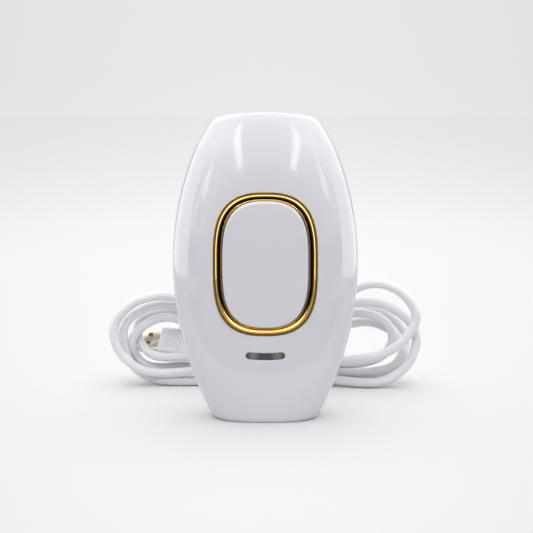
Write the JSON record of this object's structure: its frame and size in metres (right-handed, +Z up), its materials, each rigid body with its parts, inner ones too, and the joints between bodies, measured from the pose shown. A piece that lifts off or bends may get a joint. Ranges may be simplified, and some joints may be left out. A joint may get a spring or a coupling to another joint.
{
  "type": "ipl hair remover",
  "caption": "Handheld light-flash hair remover, white oval barrel body with a gold-ringed push button, status window, head window, fan and a wound USB power cord.",
  "frame": {"origin": "centre of the base, on the surface that the handset stands on", "axes": "+Z up along the body towards the light window, front face with the button towards -Y, +X to the right seen from the front"},
  "size_m": [0.1596, 0.1034, 0.14],
  "materials": {
    "white_gloss": "high gloss injection-moulded ABS",
    "gold": "gold-coloured polished plating",
    "button_white": "high gloss",
    "smoked_lens": "smoked translucent",
    "clear_guide": "clear moulding",
    "head_grey": "satin grey moulding",
    "filter_glass": "coated filter glass",
    "silicone": "matt silicone",
    "polished_aluminium": "polished",
    "contact_metal": "bright plated",
    "lamp_glass": "clear quartz",
    "nickel": "nickel plated",
    "ceramic_holder": "unglazed ceramic-filled moulding",
    "carrier_black": "matt heat-proof moulding",
    "raw_aluminium": "extruded",
    "sensor_epoxy": "dipped epoxy",
    "board_green": "glass-fibre board with solder mask",
    "switch_black": "moulded",
    "plunger_red": "moulded",
    "led_body": "phosphor-filled epoxy",
    "chip_black": "moulded epoxy",
    "capacitor_sleeve": "shrink sleeve",
    "ferrite": "sintered ferrite",
    "winding_tape": "polyester tape over copper",
    "coil_wax": "varnished copper",
    "fan_black": "moulded",
    "copper": "enamelled copper wire",
    "screw_steel": "zinc plated",
    "jack_black": "moulded with a nickel pin",
    "wire_red": "silicone insulation",
    "wire_black": "pvc insulation",
    "cord_white": "matt white pvc",
    "plug_white": "soft pvc overmould",
    "usb_tongue": "moulded insulator with plated contacts",
    "tie_white": "plastic-coated wire"
  },
  "bodies": {
    "handset": {"front_shell": "white_gloss", "rear_shell": "white_gloss", "bezel_ring": "gold", "status_lens": "smoked_lens", "light_guide": "clear_guide", "head_frame": "head_grey", "filter_window": "filter_glass", "window_gasket": "silicone", "light_duct": "polished_aluminium", "skin_contacts": "contact_metal", "flash_lamp": "lamp_glass", "lamp_electrodes": "nickel", "reflector": "polished_aluminium", "lamp_holders": "ceramic_holder", "lamp_carrier": "carrier_black", "lamp_heatsink": "raw_aluminium", "temperature_sensor": "sensor_epoxy", "main_board": "board_green", "switch_body": "switch_black", "status_leds": "led_body", "control_chip": "chip_black", "storage_capacitors": "capacitor_sleeve", "transformer_core": "ferrite", "transformer_winding": "winding_tape", "trigger_coil": "coil_wax", "power_transistor": "chip_black", "transistor_heatsink": "raw_aluminium", "fan_housing": "fan_black", "fan_stator": "copper", "fan_screws": "screw_steel", "board_screws": "screw_steel", "shell_screws": "screw_steel", "power_jack": "jack_black", "lamp_wires": "wire_red", "jack_wires": "wire_red", "fan_wires": "wire_black", "plug_barrel": "nickel", "plug_grip": "plug_white", "plug_strain_relief": "plug_white", "cord_lead": "cord_white", "cord_hank": "cord_white", "cable_tie": "tie_white", "cord_tail": "cord_white", "usb_strain_relief": "plug_white", "usb_grip": "plug_white", "usb_shell": "nickel", "usb_contacts": "usb_tongue"},
    "button": {"button_cap": "button_white"},
    "switch": {"switch_plunger": "plunger_red"},
    "fan": {"fan_rotor": "fan_black"}
  },
  "joints": [
    {"name": "button_press", "type": "slide", "parent": "handset", "child": "button", "axis": [0, 1, 0], "range_m": [0, 0.0008], "stiffness_N_per_m": 2500, "springref_m": -0.0002},
    {"name": "switch_press", "type": "slide", "parent": "handset", "child": "switch", "axis": [0, 1, 0], "range_m": [-0.0001, 0.001]},
    {"name": "fan_spin", "type": "hinge", "parent": "handset", "child": "fan", "pos_m": [0, 0.012, 0.045], "axis": [0, 1, 0], "continuous": true}
  ],
  "couplings": [
    {"joint": "switch_press", "follows": "button_press", "ratio": 1}
  ]
}
